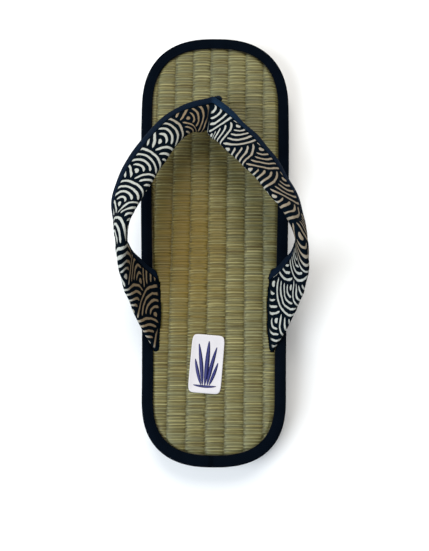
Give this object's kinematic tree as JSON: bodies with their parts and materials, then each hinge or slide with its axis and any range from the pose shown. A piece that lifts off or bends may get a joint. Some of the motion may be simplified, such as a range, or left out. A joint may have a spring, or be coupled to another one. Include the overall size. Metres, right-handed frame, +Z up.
{
  "type": "zori sandal",
  "caption": "Flat thong sandal with a foam sole, a woven rush footbed in a cloth binding, and a padded cloth V strap on a toe post.",
  "frame": {"origin": "on the floor under the middle of the sole's flat underside", "axes": "+Y from heel to toe, +Z up from the floor, +X to the right of the wearer"},
  "size_m": [0.1181, 0.28, 0.0695],
  "materials": {
    "sole_foam": "matt black foam",
    "rush_mat": "woven dried rush, satin",
    "binding_cloth": "dark navy woven tape",
    "strap_print": "cotton with cream wave arcs on navy",
    "strap_plain": "plain navy cotton"
  },
  "bodies": {
    "root": {"sole": "sole_foam", "tatami_footbed": "rush_mat", "edge_binding": "binding_cloth", "strap": "strap_print", "strap_edging": "strap_plain", "toe_post": "strap_plain"}
  },
  "joints": []
}
